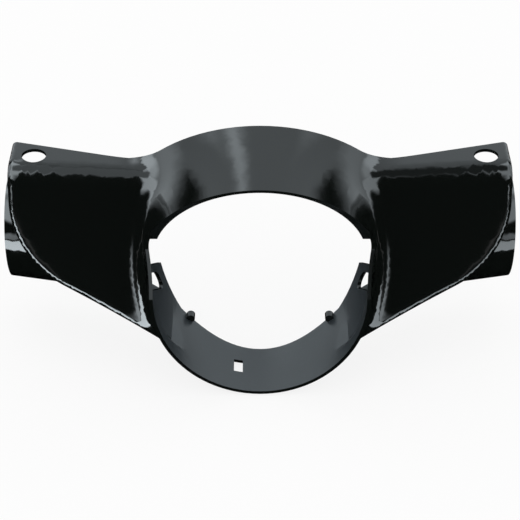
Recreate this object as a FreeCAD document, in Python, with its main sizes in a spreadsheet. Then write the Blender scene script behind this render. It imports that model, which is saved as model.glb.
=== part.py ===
import FreeCAD, Part
import math
import os
import re
import Sketcher
from FreeCAD import Placement, Rotation, Vector

# Handlebar cover of a scooter: one moulded shell, open behind, with a round headlamp opening in the
# middle, a hood over it and a wing to each side that ends in half a tube round the grip.
# Millimetres. X to the viewer's right, Y backwards, Z up; the origin is the centre of the lower rim
# of the headlamp opening.

SIZES = {
    # shell
    "wall": 2.5,
    "half_width": 188.5,
    "split_depth": 90,          # the plane where the rear cover meets this one
    "sweep_start": 95,          # the split runs back from here to the ends
    "sweep_back": 21,
    # pod round the headlamp: three sections, the first before the rim and the last behind the split
    "pod_front": -12,
    "rim_radius": 77.9,
    "waist_depth": 32,
    "waist_half_width": 82.3,
    "waist_half_height": 80.5,
    "waist_raise": 2,
    "pod_back": 112,
    "hood_half_width": 124,
    "hood_half_height": 79,
    "hood_raise": 14,
    # wing: two sections, cut to an outline with one large round corner seen from the front
    "root_x": 48,
    "root_top_z": 60.5,
    "root_top_y": 69.5,
    "root_low_y": -10.7,
    "tip_x": 192,
    "tip_top_z": 65,
    "tip_top_y": 73,
    "tip_low_y": 34,
    "wing_low_z": -75,
    "wing_back": 135,
    "wing_end_x": 182,
    "wing_corner_z": -4,
    "wing_inner_low_z": -76,
    "wing_corner_round": 62,
    # tube round the grip
    "tube_radius": 40,
    "tube_z": -9,
    "tube_from": 96,
    # rounding
    "brow_round": 18,
    "edge_round": 4.5,
    "end_round": 3,
    "neck_round": 17,
    "neck_round_top": 25,
    "neck_round_back": 60,
    # rim line seen from the side
    "rim_low_y": -8,
    "rim_low_z": -79,
    "rim_top_z": 2,
    "shoulder_y": 43,
    "shoulder_z": 21,
    "lip_top_y": 20.5,
    "lip_top_z": 78.7,
    "shoulder_round": 8,
    # stepped lip inside the edge of the hood
    "lip_radius": 77.4,
    "lip_low_z": 24,
    "lip_set": 0.9,
    "lip_thick": 2.2,
    # chin cut away for the steering stem
    "chin_back_y": 40,
    "chin_low_z": -76,
    "chin_step_y": 82.6,
    "chin_top_z": -35,
    # web that carries the chin's skin on under the wing, its window, and the pegs by its edge
    "web_set": 1.7,             # outside of the web past the waist
    "web_low_z": -54,
    "web_front_y": 18,
    "web_front_z": 16,
    "web_back_z": -31,
    "web_strap": 7,
    "window_height": 15,
    "window_front_y": 24,
    "window_back_y": 70,
    "window_round": 6,
    "peg_radius": 3.2,
    "peg_length": 6,
    "peg_in": 30.3,             # from the side of the waist
    "peg_up": 24,               # from the bottom of the waist
    "peg_y": 53,
    # mirror stem holes
    "mirror_radius": 8.8,
    "mirror_x": 164,
    "mirror_y": 91,
    # slot in the chin
    "slot_x": -16,
    "slot_y": 20,
    "slot_width": 6.5,
    "slot_length": 13,
}
WEB_RADIUS = "(waist_half_width + web_set)"
OVAL_STEPS = 12     # points along half an oval section
LEAN = 1.15         # the leaning wall of a wing is this much longer measured along Y
NEAR = 0.1          # two points closer than this are the same corner
REACH = 150         # how far the cutting solids reach past the cover
FRONT_VIEW = Rotation(Vector(1, 0, 0), 90)      # sketch x to X, sketch y to Z
SIDE_VIEW = Rotation(Vector(1, 1, 1), 120)      # sketch x to Y, sketch y to Z, normal to X
BACKWARDS = Rotation(Vector(1, 0, 0), -90)      # a cylinder's axis to Y

doc = FreeCAD.newDocument("handlebar_cover")
sheet = doc.addObject("Spreadsheet::Sheet", "sizes")
for row, (alias, size) in enumerate(SIZES.items(), start=1):
    sheet.set(f"A{row}", alias)
    sheet.set(f"B{row}", str(size))
    sheet.setAlias(f"B{row}", alias)
doc.recompute()


def linked(text):
    """An expression with the sheet's name put before each size."""
    return re.sub(r"[a-z_]\w*", lambda m: "sizes." + m[0] if m[0] in SIZES else m[0], text)


def value(text):
    """What an expression of sizes comes to now."""
    return float(sheet.evalExpression(linked(text)))


def bind(obj, **expressions):
    """Tie properties to expressions; two underscores stand for a dot."""
    for prop, text in expressions.items():
        obj.setExpression(prop.replace("__", "."), linked(text))
    return obj


def outline(name, corners, rotation=Rotation(), **base):
    """Closed polygon sketch; each corner is a pair of expressions."""
    sketch = doc.addObject("Sketcher::SketchObject", name)
    sketch.Placement = Placement(Vector(), rotation)
    points = [Vector(value(x), value(y), 0) for x, y in corners]
    for i, point in enumerate(points):
        sketch.addGeometry(Part.LineSegment(point, points[(i + 1) % len(points)]), False)
    for i in range(len(points)):
        sketch.addConstraint(Sketcher.Constraint("Coincident", i, 2, (i + 1) % len(points), 1))
    for i, (point, corner) in enumerate(zip(points, corners)):
        for kind, at, text in zip(("DistanceX", "DistanceY"), point, corner):
            label = f"corner{i}{kind[-1]}"
            index = sketch.addConstraint(Sketcher.Constraint(kind, -1, 1, i, 1, at))
            sketch.renameConstraint(index, label)
            sketch.setExpression(f"Constraints.{label}", linked(text))
    return bind(sketch, **{f"Placement__Base__{axis}": text for axis, text in base.items()})


def extrude(name, sketch, length=f"2 * (half_width + {REACH})"):
    """Solid to both sides of a sketch, across the whole cover unless a length is given."""
    solid = doc.addObject("Part::Extrusion", name)
    solid.Base = sketch
    solid.DirMode = "Normal"
    solid.Solid = True
    solid.Symmetric = True
    return bind(solid, LengthFwd=length)


def boolean(kind, name, *solids):
    obj = doc.addObject(kind, name)
    if kind == "Part::Cut":
        obj.Base, obj.Tool = solids
    else:
        obj.Shapes = list(solids)
    return obj


def fillet(name, base, edges):
    """Round chosen edges; edges is a list of (edge number, first radius, last radius)."""
    obj = doc.addObject("Part::Fillet", name)
    obj.Base = base
    obj.Edges = edges
    doc.recompute()
    return obj


def cylinder(name, radius, rotation, **base):
    """Cylinder of a given radius that starts at a point."""
    tool = doc.addObject("Part::Cylinder", name)
    tool.Placement = Placement(Vector(), rotation)
    bind(tool, Radius=radius, **{f"Placement__Base__{axis}": text for axis, text in base.items()})
    return tool


def oval(name, half_width, half_height, centre_z, depth):
    """Section of the pod: two halves that run level into each other at the top and the bottom."""
    halves = []
    turns = [math.pi * i / OVAL_STEPS for i in range(OVAL_STEPS + 1)]
    for side in (half_width, -half_width):
        points = [Vector(side * math.sin(t), depth, centre_z - half_height * math.cos(t)) for t in turns]
        curve = Part.BSplineCurve()
        curve.interpolate(Points=points, Parameters=turns, Scale=False,
                          InitialTangent=Vector(side, 0, 0), FinalTangent=Vector(-side, 0, 0))
        halves.append(curve.toShape())
    halves[1].reverse()
    obj = doc.addObject("Part::Feature", name)
    obj.Shape = Part.Wire(halves)
    return obj


def loft(name, sections, ruled):
    """Solid through sections, straight between them if ruled."""
    obj = doc.addObject("Part::Loft", name)
    obj.Sections = sections
    obj.Solid = True
    obj.Ruled = ruled
    return obj


def middle(edge):
    """Point half way along an edge."""
    return edge.valueAt((edge.FirstParameter + edge.LastParameter) / 2)


def touches(shape, point):
    return shape.distToShape(Part.Vertex(point))[0] < NEAR / 100


def make_pod(tag, inset):
    """Pod round the headlamp and the hood behind it, drawn in by the inset all round."""
    front = value("pod_front") - inset
    rim = value("rim_radius") - inset
    sections = [
        oval(tag + "_rim_section", rim, rim, 0, front),
        oval(tag + "_waist_section", value("waist_half_width") - inset,
             value("waist_half_height") - inset, value("waist_raise"), value("waist_depth")),
        oval(tag + "_hood_section", value("hood_half_width") - inset,
             value("hood_half_height") - inset, value("hood_raise"), value("pod_back")),
    ]
    return loft(tag + "_pod", sections, False)


def is_side(face):
    """Faces that run straight back, apart from the top of the wing."""
    first_u, last_u, first_v, last_v = face.ParameterRange
    normal = face.normalAt((first_u + last_u) / 2, (first_v + last_v) / 2)
    return abs(normal.y) < 1e-6 and normal.z < 0.5 and normal.x < 0.5


def wing_blank(tag, drop, back):
    """Loft from the root of the left wing to its tip, its sections drawn in by drop and back."""
    sections = []
    for end in ("root", "tip"):
        corners = [
            ("wing_back", f"{end}_top_z - {drop}"),
            (f"{end}_top_y + {back}", f"{end}_top_z - {drop}"),
            (f"{end}_low_y + {back}", "wing_low_z"),
            ("wing_back", "wing_low_z"),
        ]
        sections.append(outline(f"{tag}_{end}_section", corners, SIDE_VIEW, x=f"-{end}_x"))
    return loft(tag + "_wing_blank", sections, True)


def wing_plan(tag, inset, drop):
    """Outline of the left wing seen from the front, with its lower outer corner rounded."""
    rise = "(wing_corner_z - wing_inner_low_z) / wing_end_x"
    thick = f"{drop} * sqrt(1 + ({rise}) * ({rise}))"
    end = f"-wing_end_x + {drop}"
    corners = [
        ("0", f"{REACH}"), (end, f"{REACH}"),
        (end, f"wing_corner_z + {thick} - {drop} * {rise}"),
        ("0", f"wing_inner_low_z + {thick}"),
    ]
    plan = extrude(tag + "_wing_plan", outline(tag + "_wing_outline", corners, FRONT_VIEW))
    doc.recompute()
    corner = [
        i for i, e in enumerate(plan.Shape.Edges, 1)
        if e.CenterOfMass.x < -value("wing_end_x") / 2 and abs(e.CenterOfMass.y) < NEAR
        and abs(e.CenterOfMass.z - value("wing_corner_z")) < 3 * value("wall")
    ]
    radius = value("wing_corner_round") - inset
    return fillet(tag + "_wing_rounded", plan, [(i, radius, radius) for i in corner])


def front_edges(shape, inset):
    """Edges round the front of a wing with their radii, smaller at the end that the split cuts."""
    radius, small = value("edge_round") - inset, value("end_round") - inset
    sides = [f for f in shape.Faces if is_side(f)]
    edges = []
    for i, edge in enumerate(shape.Edges, 1):
        spot = middle(edge)
        owners = [f for f in sides if any(edge.isSame(e) for e in f.Edges)]
        if len(owners) != 1 or spot.y > value("wing_back") - 1 or spot.x > -value("root_x") - 1:
            continue
        first, last = edge.valueAt(edge.FirstParameter), edge.valueAt(edge.LastParameter)
        if max(first.y, last.y) < value("wing_back") - 1:
            edges.append((i, radius, radius))
        elif first.y < last.y:
            edges.append((i, radius, small))
        else:
            edges.append((i, small, radius))
    return edges


def make_wing(tag, inset):
    """Left wing: a loft cut to its outline, with a round brow and a rounded front edge."""
    drop, back = ("wall", f"wall * {LEAN}") if inset else ("0", "0")
    cut = boolean("Part::MultiCommon", tag + "_wing_cut",
                  wing_blank(tag, drop, back), wing_plan(tag, inset, drop))
    doc.recompute()
    brow = [
        i for i, e in enumerate(cut.Shape.Edges, 1)
        if e.Length > value("half_width") / 3 and all(
            v.Z > value("root_top_z") - 2 * value("wall") and v.Y < value("split_depth") for v in e.Vertexes)
    ]
    radius = value("brow_round") - inset
    browed = fillet(tag + "_wing_brow", cut, [(i, radius, radius) for i in brow])
    return fillet(tag + "_wing_left", browed, front_edges(browed.Shape, inset))


def mirrored(name, source):
    """The same solid on the other side."""
    obj = doc.addObject("Part::Mirroring", name)
    obj.Source = source
    obj.Normal = Vector(1, 0, 0)
    return obj


def neck_radii(body, pod, wings, inset):
    """The neck between pod and wing is tight in front and opens out over the top of the wing."""
    side, top, back = (value(n) + inset for n in ("neck_round", "neck_round_top", "neck_round_back"))
    skin = Part.Compound([f for f in pod.Shape.Faces if not isinstance(f.Surface, Part.Plane)])
    radii = []
    for i, edge in enumerate(body.Shape.Edges, 1):
        spot = middle(edge)
        if not (touches(skin, spot) and any(touches(w.Shape, spot) for w in wings)):
            continue
        if spot.y > value("pod_back") - NEAR:
            continue
        first, last = edge.valueAt(edge.FirstParameter), edge.valueAt(edge.LastParameter)
        low, high = (first, last) if first.y < last.y else (last, first)
        if spot.z < value("root_top_z") / 2:
            ends = (side, side)
        elif high.y > value("pod_back") - NEAR:
            ends = (top, back)
        elif low.z < value("root_top_z") - inset - value("edge_round") and high.y > value("root_top_y"):
            ends = (side, top)
        else:
            ends = (side, side)
        radii.append((i, *(ends if first.y < last.y else ends[::-1])))
    return radii


def make_tube(tag, inset, side):
    """Tube round the grip, along the swept split line."""
    rings = []
    sign = "-" if side == "left" else ""
    sweep = "sweep_back / (half_width - sweep_start)"
    for end, x in (("inner", "tube_from"), ("outer", "(half_width + wall * 4)")):
        ring = doc.addObject("Part::Circle", f"{tag}_tube_{side}_{end}")
        ring.Placement = Placement(Vector(), SIDE_VIEW)
        bind(ring, Radius="tube_radius" + (" - wall" if inset else ""),
             Placement__Base__x=f"{sign}{x}",
             Placement__Base__y=f"split_depth + {sweep} * ({x} - sweep_start)",
             Placement__Base__z="tube_z")
        rings.append(ring)
    return loft(f"{tag}_tube_{side}", rings, True)


def make_body(tag, inset):
    """Pod, wings and tubes in one, drawn in by the inset: the outside of the cover, or its hollow."""
    pod = make_pod(tag, inset)
    left = make_wing(tag, inset)
    right = mirrored(tag + "_wing_right", left)
    joined = boolean("Part::MultiFuse", tag + "_joined", pod, left, right)
    joined.Refine = False
    doc.recompute()
    necked = fillet(tag + "_necked", joined, neck_radii(joined, pod, (left, right), inset))
    tubes = [make_tube(tag, inset, side) for side in ("left", "right")]
    body = boolean("Part::MultiFuse", tag + "_body", necked, *tubes)
    doc.recompute()
    return body


outer = make_body("outer", 0)
inner = make_body("inner", value("wall"))

# The cover ends at the split behind and is cut square at the tube ends.
far = "(split_depth + sweep_back)"
keep = extrude("keep", outline("keep_outline", [
    ("-half_width", f"-{REACH}"), ("half_width", f"-{REACH}"),
    ("half_width", far), ("sweep_start", "split_depth"),
    ("-sweep_start", "split_depth"), ("-half_width", far),
]))

# Seen from the side the rim leans a little below, steps back at the shoulder and leans under the hood.
slope = "(shoulder_y - lip_top_y) / (lip_top_z - shoulder_z)"
rim_lean = "rim_low_y / (rim_low_z - rim_top_z)"
front_blank = extrude("front_blank", outline("front_outline", [
    (f"-{REACH}", f"-{REACH}"), (f"{rim_lean} * (-{REACH} - rim_top_z)", f"-{REACH}"),
    ("0", "rim_top_z"), ("shoulder_y", "shoulder_z"),
    (f"shoulder_y - {slope} * ({REACH} - shoulder_z)", f"{REACH}"), (f"-{REACH}", f"{REACH}"),
], SIDE_VIEW))
doc.recompute()
shoulder = Vector(0, value("shoulder_y"), value("shoulder_z"))
front = fillet("front", front_blank, [
    (i, value("shoulder_round"), value("shoulder_round"))
    for i, e in enumerate(front_blank.Shape.Edges, 1) if (e.CenterOfMass - shoulder).Length < NEAR
])

# The chin is cut away behind, between the tubes, for the steering stem and the cables.
chin = extrude("chin", outline("chin_outline", [
    (f"{REACH}", "chin_top_z"), ("chin_step_y", "chin_top_z"), ("chin_back_y", "chin_low_z"),
    ("chin_back_y", f"-{REACH}"), (f"{REACH}", f"-{REACH}"),
], SIDE_VIEW), "2 * tube_from")

# The hollow leaves a stepped lip inside the hood's front edge.
edge_at = f"shoulder_y - {slope} * (%s - shoulder_z) + lip_set"
lip_low, lip_high = edge_at % "lip_low_z", edge_at % f"{REACH}"
lip_slab = extrude("lip_slab", outline("lip_outline", [
    (lip_low, "lip_low_z"), (lip_high, f"{REACH}"),
    (lip_high + " + lip_thick", f"{REACH}"), (lip_low + " + lip_thick", "lip_low_z"),
], SIDE_VIEW), "2 * (waist_half_width + wall)")
lip_bore = cylinder("lip_bore", "lip_radius", BACKWARDS, y=f"-{REACH}")
lip_bore.Height = 2 * REACH
lip = boolean("Part::Cut", "lip", lip_slab, lip_bore)

# It also leaves a web on each side that carries the chin's skin on under the wing, with a window.
web_rings = []
for name, radius in (("web_outside", WEB_RADIUS), ("web_inside", f"{WEB_RADIUS} - wall")):
    ring = cylinder(name, radius, BACKWARDS, y="web_front_y", z="waist_raise")
    ring.Height = REACH
    web_rings.append(ring)
web_ring = boolean("Part::Cut", "web_ring", *web_rings)
web_band = extrude("web_band", outline("web_band_outline", [
    ("web_front_y", "web_low_z"), ("split_depth", "web_low_z"),
    ("split_depth", "web_back_z"), ("web_front_y", "web_front_z"),
], SIDE_VIEW))
web_blank = boolean("Part::MultiCommon", "web_blank", web_ring, web_band)
chin_slope = "(chin_step_y - chin_back_y) / (chin_top_z - chin_low_z)"
web_cut = extrude("web_cut", outline("web_cut_outline", [
    ("chin_back_y", "chin_low_z"), (f"{REACH}", "chin_low_z"), (f"{REACH}", f"{REACH}"),
    (f"chin_back_y + {chin_slope} * ({REACH} - chin_low_z)", f"{REACH}"),
], SIDE_VIEW))
web_fall = "(web_back_z - web_front_z) / (split_depth - web_front_y)"
window_blank = extrude("window_blank", outline("window_outline", [
    (y, f"web_front_z + {web_fall} * ({y} - web_front_y) - web_strap - {drop}")
    for y, drop in (("window_front_y", "0"), ("window_front_y", "window_height"),
                    ("window_back_y", "window_height"), ("window_back_y", "0"))
], SIDE_VIEW))
doc.recompute()
window = fillet("window", window_blank, [
    (i, value("window_round"), value("window_round"))
    for i, e in enumerate(window_blank.Shape.Edges, 1) if e.Length > value("half_width")
])
web_trim = boolean("Part::MultiFuse", "web_trim", web_cut, window)
web = boolean("Part::Cut", "web", web_blank, web_trim)

# Shell: the outside less the hollow, cut to its outline.
hollow_lip = boolean("Part::Cut", "hollow_lip", inner, lip)
hollow = boolean("Part::Cut", "hollow", hollow_lip, web)
shell = boolean("Part::Cut", "shell", outer, hollow)
keep_front = boolean("Part::Cut", "keep_front", keep, front)
keep_chin = boolean("Part::Cut", "keep_chin", keep_front, chin)
trimmed = boolean("Part::MultiCommon", "trimmed", shell, keep_chin)
doc.recompute()

# Mirror stem holes and the slot in the chin, then the pegs by the chin's rear edge.
tools, pegs = [], []
for side, sign in (("left", "-"), ("right", "")):
    tool = cylinder("mirror_hole_" + side, "mirror_radius", Rotation(),
                    x=f"{sign}mirror_x", y="mirror_y", z="root_top_z - tube_radius / 2")
    tool.Height = REACH
    tools.append(tool)
    peg = cylinder("peg_" + side, "peg_radius", BACKWARDS,
                   x=f"{sign}(waist_half_width - peg_in)", y="peg_y", z="peg_up - waist_half_height")
    pegs.append(bind(peg, Height="peg_length"))
slot = doc.addObject("Part::Box", "slot")
bind(slot, Length="slot_width", Width="slot_length", Height="12 * wall",
     Placement__Base__x="slot_x - slot_width / 2", Placement__Base__y="slot_y - slot_length / 2",
     Placement__Base__z="chin_low_z - 3 * wall")
holes = boolean("Part::MultiFuse", "holes", *tools, slot)
drilled = boolean("Part::Cut", "drilled", trimmed, holes)
final = boolean("Part::MultiFuse", "pegged", drilled, *pegs)
doc.recompute()
final.Label = "handlebar_cover"

for obj in doc.Objects:
    assert not {"Invalid", "Error"} & set(obj.State), f"{obj.Label} failed"
    shape = getattr(obj, "Shape", None)
    assert shape is None or (not shape.isNull() and shape.isValid()), f"{obj.Label} has a bad shape"
assert len(final.Shape.Solids) == 1, "the cover is not one piece"

os.makedirs("parts", exist_ok=True)
final.Shape.exportStep("parts/handlebar_cover.step")
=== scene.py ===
import math

import bmesh
import bpy
import numpy as np
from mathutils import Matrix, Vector


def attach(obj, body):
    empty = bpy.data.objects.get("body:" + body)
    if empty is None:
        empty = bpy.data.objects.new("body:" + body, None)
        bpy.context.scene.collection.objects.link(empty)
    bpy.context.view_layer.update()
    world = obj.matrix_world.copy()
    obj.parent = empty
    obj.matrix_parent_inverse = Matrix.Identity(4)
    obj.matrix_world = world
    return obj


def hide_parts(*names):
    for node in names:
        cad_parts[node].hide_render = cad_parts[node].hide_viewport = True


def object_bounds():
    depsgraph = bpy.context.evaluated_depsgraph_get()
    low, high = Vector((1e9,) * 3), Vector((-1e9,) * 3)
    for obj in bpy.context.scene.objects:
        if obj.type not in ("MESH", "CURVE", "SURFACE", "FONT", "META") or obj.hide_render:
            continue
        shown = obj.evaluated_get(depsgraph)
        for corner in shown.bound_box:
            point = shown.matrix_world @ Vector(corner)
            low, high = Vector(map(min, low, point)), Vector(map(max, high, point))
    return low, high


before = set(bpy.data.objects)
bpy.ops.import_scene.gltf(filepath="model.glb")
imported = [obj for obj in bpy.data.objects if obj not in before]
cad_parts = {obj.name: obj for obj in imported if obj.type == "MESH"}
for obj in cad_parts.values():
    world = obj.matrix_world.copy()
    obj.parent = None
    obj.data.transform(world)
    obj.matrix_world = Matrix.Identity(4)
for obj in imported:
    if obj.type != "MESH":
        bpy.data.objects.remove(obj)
cad_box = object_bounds()
FLOOR_GAP = 0.0005
FLOOR_Z = cad_box[0].z - FLOOR_GAP

WELD = 1e-7                 # points nearer than this are one point
CREASE = math.radians(28)   # edges that turn more than this stay sharp
LONGEST_EDGE = 0.005        # longer edges are split, so that reflections run smoothly
SPLIT_ROUNDS = 4            # each round halves the long edges once
SMOOTHING_TURNS = 6         # how often each normal is averaged with its neighbours
SMOOTHING_CARE = 60         # higher numbers keep more of the small curves
INSIDE_AREA = 4e-4          # smaller groups of faces count as edges of the painted side
SPINE_Y = 0.13              # a line across, behind the cover, that its inner side looks at
SPINE_HALF_WIDTH = 0.12     # faces nearer the middle than this look at the line's centre

COOL_WHITE = (0.86, 0.95, 1.0, 1)
DOME_RADIUS = 8.0
DOME_STEP = 2.0             # degrees, as are all the places on the dome
DOME_FOOT = -20.0
DOME_TOP = 90.0
STUDIO_GLOW = "glow"

# brightness of each light on the left and on the right of the object
FRONT_BOX = (5.6, 3.4)
SIDE_WALL = (2.4, 1.9)
TOP_BOX = (5.0, 3.2)
LOW_STRIP = (5.5, 4.0)
SHEET = (12.0, 5.0)
BACK_WALL = 1.1
OVERHEAD = 1.1
OVERHEAD_RIGHT = 0.15
SPOT = 2.2

FLOOR_HALF_SIZE = 2.5
FLOOR_GLOW = 0.85           # share of the floor's look that the camera sees as plain white
SHADE_CARD_LIFT = 0.0002         # heights above the floor, of the black card of painted shade and of the bright sheets
SHEET_LIFT = 0.0004

CAMERA_LENS = 112.3         # millimetres, as is the sensor
CAMERA_SENSOR = 36
CAMERA_PLACE = (0, -0.905, 0.694)
CAMERA_TILT = math.radians(54)


def material(name):
    mat = bpy.data.materials.new(name)
    mat.use_nodes = True
    tree = mat.node_tree
    return mat, tree, tree.nodes["Principled BSDF"]


def node(tree, kind, **inputs):
    made = tree.nodes.new(kind)
    for key, value in inputs.items():
        made.inputs[key.replace("_", " ")].default_value = value
    return made


def gloss_paint():
    """Black paint with a faint orange peel."""
    mat, tree, shader = material("gloss_paint")
    shader.inputs["Base Color"].default_value = (0.0035, 0.0045, 0.004, 1)
    shader.inputs["IOR"].default_value = 1.5
    place = tree.nodes.new("ShaderNodeTexCoord")
    noise = node(tree, "ShaderNodeTexNoise", Scale=14.0, Detail=3.0)
    rough = node(tree, "ShaderNodeMapRange", To_Min=0.05, To_Max=0.10)
    peel = node(tree, "ShaderNodeTexNoise", Scale=220.0, Detail=1.0)
    bump = node(tree, "ShaderNodeBump", Strength=0.02, Distance=0.0004)
    tree.links.new(place.outputs["Object"], noise.inputs["Vector"])
    tree.links.new(noise.outputs["Fac"], rough.inputs["Value"])
    tree.links.new(rough.outputs["Result"], shader.inputs["Roughness"])
    tree.links.new(place.outputs["Object"], peel.inputs["Vector"])
    tree.links.new(peel.outputs["Fac"], bump.inputs["Height"])
    tree.links.new(bump.outputs["Normal"], shader.inputs["Normal"])
    return mat


def bare_plastic():
    """The moulded plastic of the inner side, finely grained."""
    mat, tree, shader = material("bare_plastic")
    shader.inputs["IOR"].default_value = 1.5
    shader.inputs["Roughness"].default_value = 0.36
    place = tree.nodes.new("ShaderNodeTexCoord")
    noise = node(tree, "ShaderNodeTexNoise", Scale=900.0, Detail=2.0)
    tint = tree.nodes.new("ShaderNodeValToRGB")
    tint.color_ramp.elements[0].color = (0.020, 0.026, 0.030, 1)
    tint.color_ramp.elements[1].color = (0.030, 0.038, 0.044, 1)
    bump = node(tree, "ShaderNodeBump", Strength=0.05, Distance=0.0004)
    tree.links.new(place.outputs["Object"], noise.inputs["Vector"])
    tree.links.new(noise.outputs["Fac"], tint.inputs["Fac"])
    tree.links.new(tint.outputs["Color"], shader.inputs["Base Color"])
    tree.links.new(noise.outputs["Fac"], bump.inputs["Height"])
    tree.links.new(bump.outputs["Normal"], shader.inputs["Normal"])
    return mat


def outward(face):
    """Positive where a face of the shell looks away from its hollow."""
    centre = face.calc_center_median()
    past_end = max(abs(centre.x) - SPINE_HALF_WIDTH, 0)
    spine = Vector((math.copysign(past_end, centre.x), SPINE_Y, 0))
    return face.normal.dot(centre - spine) * face.calc_area()


def meets_smoothly(edge):
    return len(edge.link_faces) == 2 and edge.calc_face_angle() < CREASE


def regions(bm):
    """Groups of faces that meet smoothly."""
    left = set(bm.faces)
    while left:
        group, front = [], [left.pop()]
        while front:
            face = front.pop()
            group.append(face)
            for edge in filter(meets_smoothly, face.edges):
                for other in edge.link_faces:
                    if other in left:
                        left.discard(other)
                        front.append(other)
        yield group


def split_long_edges(bm):
    """Split the long edges, for a fixed number of rounds."""
    for _ in range(SPLIT_ROUNDS):
        long_edges = [e for e in bm.edges if e.calc_length() > LONGEST_EDGE]
        bmesh.ops.subdivide_edges(bm, edges=long_edges, cuts=1)
        bmesh.ops.triangulate(bm, faces=[f for f in bm.faces if len(f.verts) > 3])


def unit(vectors):
    return vectors / np.maximum(np.linalg.norm(vectors, axis=1), 1e-12)[:, None]


def smooth_normals(bm):
    """A normal for each face corner, averaged along the surface but never across a sharp edge."""
    bm.faces.index_update()
    corner = {}
    for face in bm.faces:
        for k, vert in enumerate(face.verts):
            corner[face, vert] = 3 * face.index + k
    pairs = [(corner[e.link_faces[0], v], corner[e.link_faces[1], v])
             for e in bm.edges if meets_smoothly(e) for v in e.verts]
    first, second = np.array(pairs).T
    label = np.arange(3 * len(bm.faces))
    while (label[first] != label[second]).any():
        lowest = np.minimum(label[first], label[second])
        np.minimum.at(label, first, lowest)
        np.minimum.at(label, second, lowest)
    fans, fan = np.unique(label, return_inverse=True)
    area = np.array([f.calc_area() for f in bm.faces])
    facing = np.array([f.normal for f in bm.faces])

    def gather(per_corner):
        return np.stack([np.bincount(fan, per_corner[:, k], len(fans)) for k in range(3)], axis=1)

    normal = unit(gather(np.repeat(facing * area[:, None], 3, axis=0)))
    for _ in range(SMOOTHING_TURNS):
        facing = unit(normal[fan].reshape(-1, 3, 3).sum(axis=1))
        spread = np.repeat(facing, 3, axis=0)
        likeness = np.maximum((spread * normal[fan]).sum(axis=1), 0) ** SMOOTHING_CARE
        normal = unit(gather(spread * (likeness * np.repeat(area, 3))[:, None]))
    return normal[fan]


def make_cover(source):
    """The solid's mesh with smooth shading, painted outside and bare inside."""
    bm = bmesh.new()
    bm.from_mesh(source.data)
    bmesh.ops.remove_doubles(bm, verts=bm.verts, dist=WELD)
    bmesh.ops.dissolve_degenerate(bm, dist=WELD, edges=bm.edges)
    bmesh.ops.triangulate(bm, faces=bm.faces)
    split_long_edges(bm)
    bm.normal_update()
    for group in regions(bm):
        large = sum(f.calc_area() for f in group) > INSIDE_AREA
        inside = large and sum(outward(f) for f in group) < 0
        for face in group:
            face.smooth = True
            face.material_index = 1 if inside else 0
    for edge in bm.edges:
        edge.smooth = meets_smoothly(edge)
    normals = smooth_normals(bm)
    mesh = bpy.data.meshes.new("cover")
    bm.to_mesh(mesh)
    bm.free()
    mesh.materials.append(gloss_paint())
    mesh.materials.append(bare_plastic())
    mesh.normals_split_custom_set(normals)
    cover = bpy.data.objects.new("cover", mesh)
    bpy.context.collection.objects.link(cover)
    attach(cover, "root")
    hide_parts(source.name)


def make_floor():
    """A white floor that glows a little for the camera and keeps the object's shadow."""
    size = FLOOR_HALF_SIZE
    mesh = bpy.data.meshes.new("floor")
    corners = [(-size, -size), (size, -size), (size, size), (-size, size)]
    mesh.from_pydata([(x, y, FLOOR_Z) for x, y in corners], [], [(0, 1, 2, 3)])
    floor = bpy.data.objects.new("floor", mesh)
    bpy.context.collection.objects.link(floor)
    mat, tree, shader = material("floor")
    shader.inputs["Base Color"].default_value = (0.9, 0.9, 0.9, 1)
    shader.inputs["Roughness"].default_value = 0.9
    shader.inputs["Specular IOR Level"].default_value = 0.0
    path = tree.nodes.new("ShaderNodeLightPath")
    glow = tree.nodes.new("ShaderNodeEmission")
    share = tree.nodes.new("ShaderNodeMath")
    share.operation = "MULTIPLY"
    share.inputs[1].default_value = FLOOR_GLOW
    mix = tree.nodes.new("ShaderNodeMixShader")
    tree.links.new(path.outputs["Is Camera Ray"], share.inputs[0])
    tree.links.new(share.outputs["Value"], mix.inputs["Fac"])
    tree.links.new(shader.outputs["BSDF"], mix.inputs[1])
    tree.links.new(glow.outputs["Emission"], mix.inputs[2])
    tree.links.new(mix.outputs["Shader"], tree.nodes["Material Output"].inputs["Surface"])
    mesh.materials.append(mat)


def prop(name, points, faces, brightness):
    """A card that shows only in reflections, with a brightness for each point."""
    mesh = bpy.data.meshes.new(name)
    mesh.from_pydata(points, [], faces)
    mesh.attributes.new(STUDIO_GLOW, "FLOAT", "POINT").data.foreach_set("value", brightness)
    obj = bpy.data.objects.new(name, mesh)
    bpy.context.collection.objects.link(obj)
    mat, tree, shader = material(name)
    tree.nodes.remove(shader)
    glow = node(tree, "ShaderNodeEmission", Color=COOL_WHITE)
    level = tree.nodes.new("ShaderNodeAttribute")
    level.attribute_name = STUDIO_GLOW
    tree.links.new(level.outputs["Fac"], glow.inputs["Strength"])
    tree.links.new(glow.outputs["Emission"], tree.nodes["Material Output"].inputs["Surface"])
    mesh.materials.append(mat)
    obj.visible_camera = False
    obj.visible_diffuse = False
    obj.visible_shadow = False


def rise(value, at, edge):
    """From 0 to 1 as the value passes a place, over a soft edge."""
    t = min(max((value - at) / (2 * edge) + 0.5, 0), 1)
    return t * t * (3 - 2 * t)


def between(value, low, high, edge):
    """1 between two places and 0 outside them, over soft edges."""
    return rise(value, low, edge) * (1 - rise(value, high, edge))


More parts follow.
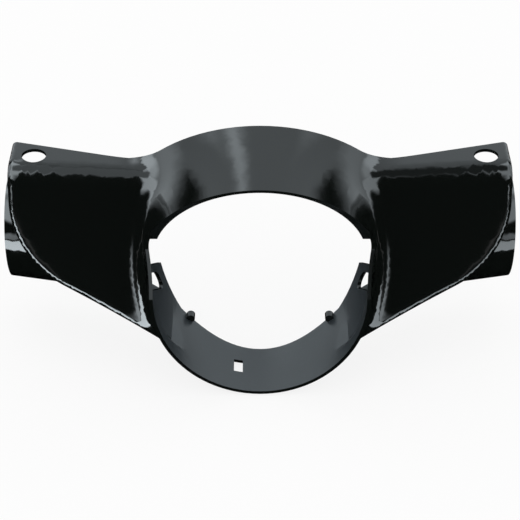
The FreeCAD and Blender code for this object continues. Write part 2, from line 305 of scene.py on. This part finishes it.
def studio(azimuth, elevation):
    """Brightness of the studio; azimuth 0 is towards the camera and 90 to its right."""
    side = abs(azimuth)
    hand = 0 if azimuth < 0 else 1
    foot = float(np.interp(side, [65, 88, 102, 116], [31, 14, -2, -16]))
    front_box = between(side, 27, 92, 4) * between(elevation, foot, 70, 4) * FRONT_BOX[hand]
    side_wall = between(side, 92, 126, 5) * between(elevation, foot, 46, 4) * SIDE_WALL[hand]
    top_box = between(side, 92, 152, 6) * between(elevation, 47, 70, 5) * TOP_BOX[hand]
    back_wall = max(rise(side, 139, 5), rise(side, 126, 5) * rise(elevation, 29, 4))
    back_wall *= BACK_WALL * (1 - rise(elevation, 70, 6))
    overhead = rise(elevation, 71, 4) * (OVERHEAD_RIGHT + OVERHEAD * (1 - rise(azimuth, 20, 10)))
    low_strip = between(side, 33, 48, 3) * between(elevation, DOME_FOOT, 9, 3) * LOW_STRIP[hand]
    spot = SPOT * math.exp(-((azimuth + 163) / 5) ** 2 - ((elevation - 46) / 3.5) ** 2)
    return front_box + side_wall + top_box + back_wall + overhead + low_strip + spot


def make_dome():
    """The studio as a far dome, seen only in the paint."""
    columns = round(360 / DOME_STEP)
    rows = round((DOME_TOP - DOME_FOOT) / DOME_STEP)
    points, faces, brightness = [], [], []
    for j in range(rows + 1):
        elevation = DOME_FOOT + (DOME_TOP - DOME_FOOT) * j / rows
        for i in range(columns):
            azimuth = -180 + 360 * i / columns
            a, e = math.radians(azimuth), math.radians(elevation)
            x = DOME_RADIUS * math.sin(a) * math.cos(e)
            y = -DOME_RADIUS * math.cos(a) * math.cos(e)
            points.append((x, y, DOME_RADIUS * math.sin(e)))
            brightness.append(studio(azimuth, elevation))
            if j < rows:
                here, right = j * columns + i, j * columns + (i + 1) % columns
                faces.append((here, right, right + columns, here + columns))
    prop("dome", points, faces, brightness)


def make_reflection_cards():
    """A black card under the object, seen only in reflections, that paints shade into what the
    paint reflects below it, with a bright sheet on each side of its front.
    """
    shade_card = [(-1.8, -1.8), (1.8, -1.8), (1.8, 0.7), (-1.8, 0.7)]
    sheet = [(0.125, -0.027), (0.142, -0.005), (1.0, -0.40), (0.70, -0.77)]
    mirrored = [(-x, y) for x, y in sheet]
    # the first card is black: painted shade in the paint's reflections from below, over the white
    # floor
    for name, corners, height, level in (("shade_card", shade_card, SHADE_CARD_LIFT, 0.0),
                                         ("sheet_left", mirrored, SHEET_LIFT, SHEET[0]),
                                         ("sheet_right", sheet, SHEET_LIFT, SHEET[1])):
        prop(name, [(x, y, FLOOR_Z + height) for x, y in corners], [(0, 1, 2, 3)], [level] * 4)


def make_camera():
    data = bpy.data.cameras.new("camera")
    data.lens = CAMERA_LENS
    data.sensor_width = CAMERA_SENSOR
    camera = bpy.data.objects.new("camera", data)
    camera.location = CAMERA_PLACE
    camera.rotation_euler = (CAMERA_TILT, 0, 0)
    bpy.context.collection.objects.link(camera)
    bpy.context.scene.camera = camera


def make_world():
    """Plain white light for the floor and for what isn't glossy."""
    world = bpy.data.worlds.new("studio")
    world.use_nodes = True
    background = world.node_tree.nodes["Background"]
    background.inputs["Color"].default_value = (1, 1, 1, 1)
    background.inputs["Strength"].default_value = 1.0
    bpy.context.scene.world = world


make_cover(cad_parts["handlebar_cover"])
make_floor()
make_dome()
make_reflection_cards()
make_world()
make_camera()
bpy.context.scene.view_settings.view_transform = "Standard"
